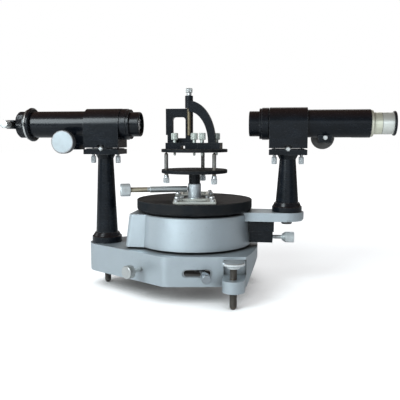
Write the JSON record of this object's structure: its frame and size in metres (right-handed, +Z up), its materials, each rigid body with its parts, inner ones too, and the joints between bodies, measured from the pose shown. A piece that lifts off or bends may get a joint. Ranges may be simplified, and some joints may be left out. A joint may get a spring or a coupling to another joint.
{
  "type": "student spectrometer",
  "caption": "Laboratory prism spectrometer: cast base, drum with divided circle, vernier table, levelling prism table, collimator and swinging telescope on pillars",
  "frame": {"origin": "on the vertical main axis at floor level, at the middle of the feet's plane", "axes": "X along the optical line from the collimator to the telescope's eyepiece, Y across it away from the slotted front wall, Z up"},
  "size_m": [0.5, 0.22, 0.2582],
  "materials": {
    "silver_paint": "smooth metallic silver-grey paint",
    "black_paint": "satin black stove enamel",
    "black_matt": "matt black crackle enamel",
    "bright_steel": "nickel plated turned steel",
    "plain_steel": "plain turned steel, lightly oiled",
    "dark_steel": "blackened steel with worn threads",
    "cream_metal": "lacquered light alloy, slightly yellowed",
    "silvered_scale": "silvered metal with fine engraved divisions",
    "brass": "turned brass",
    "lens_glass": "clear polished glass",
    "window_glass": "clear plate glass"
  },
  "bodies": {
    "base": {"base_casting": "silver_paint", "main_post": "plain_steel", "post_ring_nut": "dark_steel", "collimator_pillar": "black_paint"},
    "nose_foot": {"nose_foot_screw": "dark_steel"},
    "near_foot": {"near_foot_screw": "bright_steel"},
    "far_foot": {"far_foot_screw": "bright_steel"},
    "side_clamp": {"side_clamp_screw": "bright_steel"},
    "fine_motion_collar": {"slow_motion_collar": "dark_steel"},
    "slot_clamp": {"slot_screw": "bright_steel"},
    "telescope_carrier": {"drum_casting": "silver_paint", "divided_circle": "silvered_scale", "telescope_pillar": "black_paint", "telescope_pillar_bolt": "dark_steel", "clamp_bracket": "black_paint"},
    "telescope_clamp": {"bracket_screw": "bright_steel"},
    "vernier_table": {"vernier_disc": "black_matt", "vernier_spindle": "plain_steel", "spindle_nut": "dark_steel", "vernier_plates": "silvered_scale", "window_frames": "cream_metal", "window_glasses": "window_glass", "disc_screws": "bright_steel", "table_sleeve": "bright_steel"},
    "table_clamp": {"table_clamp_screw": "bright_steel"},
    "table_lift": {"table_stem": "black_paint", "lower_table": "black_matt"},
    "left_level": {"level_screw_left": "bright_steel"},
    "back_level": {"level_screw_back": "bright_steel"},
    "right_level": {"level_screw_right": "bright_steel"},
    "prism_table": {"upper_table": "black_matt", "grating_stand": "black_paint", "prism_clamp_arm": "black_paint", "thumb_screws": "bright_steel"},
    "prism_clamp": {"clamp_spindle": "bright_steel"},
    "collimator": {"collimator_block": "black_paint", "collimator_tube": "black_paint", "collimator_objective_ring": "black_paint", "collimator_lens": "lens_glass", "collimator_flange": "dark_steel"},
    "collimator_focus": {"collimator_draw_tube": "plain_steel", "slit_housing": "black_paint"},
    "collimator_focus_knob": {"collimator_pinion": "bright_steel"},
    "slit": {"slit_jaw": "bright_steel"},
    "slit_drive": {"slit_screw": "bright_steel"},
    "collimator_tilt_inner": {"collimator_tilt_screw_inner": "bright_steel"},
    "collimator_tilt_outer": {"collimator_tilt_screw_outer": "bright_steel"},
    "telescope": {"telescope_block": "black_paint", "telescope_tube": "black_paint", "telescope_objective_ring": "black_paint", "telescope_lens": "lens_glass", "telescope_end_ring": "cream_metal"},
    "telescope_focus": {"telescope_draw_tube": "bright_steel", "crosswire_ring": "brass"},
    "telescope_focus_knob": {"telescope_pinion": "dark_steel"},
    "telescope_tilt_inner": {"telescope_tilt_screw_inner": "bright_steel"},
    "telescope_tilt_outer": {"telescope_tilt_screw_outer": "bright_steel"},
    "eyepiece_slide": {"eyepiece": "bright_steel", "eye_flange": "black_paint", "eye_lens": "lens_glass"}
  },
  "joints": [
    {"name": "nose_foot_spin", "type": "hinge", "parent": "base", "child": "nose_foot", "pos_m": [-0.12, 0, 0.03], "axis": [0, 0, 1], "range_deg": [-180, 180]},
    {"name": "near_foot_spin", "type": "hinge", "parent": "base", "child": "near_foot", "pos_m": [0.06, -0.097, 0.03], "axis": [0, 0, 1], "range_deg": [-180, 180]},
    {"name": "far_foot_spin", "type": "hinge", "parent": "base", "child": "far_foot", "pos_m": [0.06, 0.097, 0.03], "axis": [0, 0, 1], "range_deg": [-180, 180]},
    {"name": "side_clamp_spin", "type": "hinge", "parent": "base", "child": "side_clamp", "pos_m": [-0.05492, -0.06773, 0.036], "axis": [-0.5268, -0.85, 0], "range_deg": [-180, 180]},
    {"name": "fine_motion_swing", "type": "hinge", "parent": "base", "child": "fine_motion_collar", "pos_m": [0, 0, 0.036], "axis": [0, 0, 1], "range_deg": [-13, 3]},
    {"name": "slot_clamp_spin", "type": "hinge", "parent": "fine_motion_collar", "child": "slot_clamp", "pos_m": [0.01644, -0.0577, 0.036], "axis": [0.274, -0.9617, 0], "range_deg": [-180, 180]},
    {"name": "telescope_swing", "type": "hinge", "parent": "base", "child": "telescope_carrier", "pos_m": [0, 0, 0.075], "axis": [0, 0, 1], "range_deg": [-135, 135]},
    {"name": "telescope_clamp_spin", "type": "hinge", "parent": "telescope_carrier", "child": "telescope_clamp", "pos_m": [0.1, 0, 0.068], "axis": [1, 0, 0], "range_deg": [-180, 180]},
    {"name": "vernier_table_turn", "type": "hinge", "parent": "base", "child": "vernier_table", "pos_m": [0, 0, 0.1], "axis": [0, 0, 1], "continuous": true},
    {"name": "table_clamp_spin", "type": "hinge", "parent": "vernier_table", "child": "table_clamp", "pos_m": [-0.03759, -0.01368, 0.129], "axis": [-0.9397, -0.342, 0], "range_deg": [-180, 180]},
    {"name": "table_height", "type": "slide", "parent": "vernier_table", "child": "table_lift", "axis": [0, 0, 1], "range_m": [-0.003, 0.02]},
    {"name": "left_level_spin", "type": "hinge", "parent": "table_lift", "child": "left_level", "pos_m": [-0.03498, -0.01205, 0.16], "axis": [0, 0, 1], "range_deg": [-180, 180]},
    {"name": "back_level_spin", "type": "hinge", "parent": "table_lift", "child": "back_level", "pos_m": [0.00579, 0.03654, 0.16], "axis": [0, 0, 1], "range_deg": [-180, 180]},
    {"name": "table_tilt", "type": "hinge", "parent": "table_lift", "child": "prism_table", "pos_m": [-0.03498, -0.01205, 0.1767], "axis": [0.6428, 0.766, 0], "range_deg": [-2, 2]},
    {"name": "right_level_travel", "type": "slide", "parent": "table_lift", "child": "right_level", "axis": [0, 0, 1], "range_m": [-0.0021, 0.0021]},
    {"name": "prism_clamp_slide", "type": "slide", "parent": "prism_table", "child": "prism_clamp", "axis": [0, 0, 1], "range_m": [0, 0.022]},
    {"name": "collimator_tilt", "type": "hinge", "parent": "base", "child": "collimator", "pos_m": [-0.12, 0, 0.1815], "axis": [0, 1, 0], "range_deg": [-2, 2]},
    {"name": "collimator_focusing", "type": "slide", "parent": "collimator", "child": "collimator_focus", "axis": [-1, 0, 0], "range_m": [0, 0.018]},
    {"name": "collimator_knob_turn", "type": "hinge", "parent": "collimator", "child": "collimator_focus_knob", "pos_m": [-0.165, 0, 0.19], "axis": [0, -1, 0], "range_deg": [0, 159.2]},
    {"name": "slit_width", "type": "slide", "parent": "collimator_focus", "child": "slit", "axis": [0, -1, 0], "range_m": [0, 0.0008]},
    {"name": "slit_screw_turn", "type": "hinge", "parent": "collimator_focus", "child": "slit_drive", "pos_m": [-0.243, -0.02, 0.213], "axis": [0, -1, 0], "range_deg": [0, 360]},
    {"name": "collimator_tilt_inner_travel", "type": "slide", "parent": "base", "child": "collimator_tilt_inner", "axis": [0, 0, 1], "range_m": [-0.00062, 0.00062]},
    {"name": "collimator_tilt_outer_travel", "type": "slide", "parent": "base", "child": "collimator_tilt_outer", "axis": [0, 0, 1], "range_m": [-0.00062, 0.00062]},
    {"name": "telescope_tilt", "type": "hinge", "parent": "telescope_carrier", "child": "telescope", "pos_m": [0.12, 0, 0.1815], "axis": [0, 1, 0], "range_deg": [-2, 2]},
    {"name": "telescope_focusing", "type": "slide", "parent": "telescope", "child": "telescope_focus", "axis": [1, 0, 0], "range_m": [-0.009, 0.014]},
    {"name": "telescope_knob_turn", "type": "hinge", "parent": "telescope", "child": "telescope_focus_knob", "pos_m": [0.165, 0, 0.1955], "axis": [0, 1, 0], "range_deg": [-172.4, 267.9]},
    {"name": "telescope_tilt_inner_travel", "type": "slide", "parent": "telescope_carrier", "child": "telescope_tilt_inner", "axis": [0, 0, 1], "range_m": [-0.00062, 0.00062]},
    {"name": "telescope_tilt_outer_travel", "type": "slide", "parent": "telescope_carrier", "child": "telescope_tilt_outer", "axis": [0, 0, 1], "range_m": [-0.00062, 0.00062]},
    {"name": "eyepiece_travel", "type": "slide", "parent": "telescope_focus", "child": "eyepiece_slide", "axis": [1, 0, 0], "range_m": [0, 0.01]}
  ],
  "couplings": [
    {"joint": "right_level_travel", "follows": "table_tilt", "m_per_rad": -0.05605},
    {"joint": "collimator_knob_turn", "follows": "collimator_focusing", "rad_per_m": 153.85},
    {"joint": "telescope_knob_turn", "follows": "telescope_focusing", "rad_per_m": 333.33},
    {"joint": "collimator_tilt_inner_travel", "follows": "collimator_tilt", "m_per_rad": -0.017},
    {"joint": "collimator_tilt_outer_travel", "follows": "collimator_tilt", "m_per_rad": 0.017},
    {"joint": "telescope_tilt_inner_travel", "follows": "telescope_tilt", "m_per_rad": 0.017},
    {"joint": "telescope_tilt_outer_travel", "follows": "telescope_tilt", "m_per_rad": -0.017},
    {"joint": "slit_width", "follows": "slit_screw_turn", "m_per_rad": 0.00012732}
  ]
}
